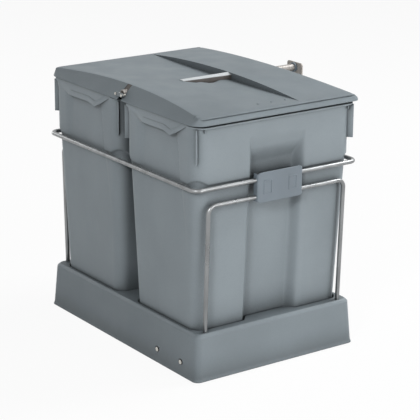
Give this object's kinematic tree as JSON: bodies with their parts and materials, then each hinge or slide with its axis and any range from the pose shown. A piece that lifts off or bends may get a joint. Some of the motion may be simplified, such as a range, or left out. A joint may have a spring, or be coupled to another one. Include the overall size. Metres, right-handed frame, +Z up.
{
  "type": "pull-out waste bin unit",
  "caption": "Pull-out waste unit for a base cabinet: moulded tray on ball runners, bins held in a wire ring, door bracket, and an arched lid that stays above on its bar.",
  "frame": {"origin": "on the cabinet floor, in the middle of the floor screws of the base angles", "axes": "+X to the right seen from the front, +Y to the back of the cabinet, +Z up"},
  "size_m": [0.3966, 0.4897, 0.4815],
  "materials": {
    "bin_plastic": "satin moulded",
    "tray_plastic": "satin moulded",
    "lid_plastic": "satin moulded",
    "wire_steel": "bright plated",
    "bracket_steel": "satin powder coat",
    "bar_steel": "drawn tube",
    "clip_plastic": "moulded",
    "runner_steel": "zinc plated",
    "cage_steel": "pressed sheet",
    "ball_steel": "polished",
    "fastener_steel": "zinc plated"
  },
  "bodies": {
    "base": {"left_base_angle": "runner_steel", "right_base_angle": "runner_steel", "front_cross_tie": "runner_steel", "rear_cross_tie": "runner_steel", "tie_rivets": "fastener_steel", "left_fixed_rail": "runner_steel", "right_fixed_rail": "runner_steel", "rail_rivets": "fastener_steel", "lid_bar": "bar_steel", "bar_flange": "bracket_steel", "wall_plate": "bracket_steel"},
    "carriage": {"tray": "tray_plastic", "front_bin": "bin_plastic", "rear_bin": "bin_plastic", "left_moving_rail": "runner_steel", "right_moving_rail": "runner_steel", "rail_screws": "fastener_steel", "ring_wire": "wire_steel", "front_hoop": "wire_steel", "rear_hoop": "wire_steel", "hoop_nuts": "fastener_steel", "door_bracket": "bracket_steel", "bracket_clamp": "bracket_steel", "bracket_screws": "fastener_steel", "rear_tie_plate": "bracket_steel", "rear_clamp": "bracket_steel", "rear_tie_screws": "fastener_steel"},
    "middle_runners": {"left_mid_rail": "runner_steel", "right_mid_rail": "runner_steel"},
    "outer_cages": {"left_outer_cage": "cage_steel", "right_outer_cage": "cage_steel", "outer_balls": "ball_steel"},
    "inner_cages": {"left_inner_cage": "cage_steel", "right_inner_cage": "cage_steel", "inner_balls": "ball_steel"},
    "lid": {"lid": "lid_plastic", "lid_clip": "clip_plastic", "lid_clip_screws": "fastener_steel"}
  },
  "joints": [
    {"name": "pull_out", "type": "slide", "parent": "base", "child": "carriage", "axis": [0, -1, 0], "range_m": [0, 0.45]},
    {"name": "middle_runner_slide", "type": "slide", "parent": "base", "child": "middle_runners", "axis": [0, -1, 0], "range_m": [0, 0.225]},
    {"name": "outer_cage_roll", "type": "slide", "parent": "base", "child": "outer_cages", "axis": [0, -1, 0], "range_m": [0, 0.3375]},
    {"name": "inner_cage_roll", "type": "slide", "parent": "base", "child": "inner_cages", "axis": [0, -1, 0], "range_m": [0, 0.1125]},
    {"name": "lid_lift", "type": "slide", "parent": "base", "child": "lid", "axis": [0, 0, 1], "range_m": [0, 0.06]}
  ],
  "couplings": [
    {"joint": "middle_runner_slide", "follows": "pull_out", "ratio": 0.5},
    {"joint": "outer_cage_roll", "follows": "pull_out", "ratio": 0.75},
    {"joint": "inner_cage_roll", "follows": "pull_out", "ratio": 0.25}
  ]
}
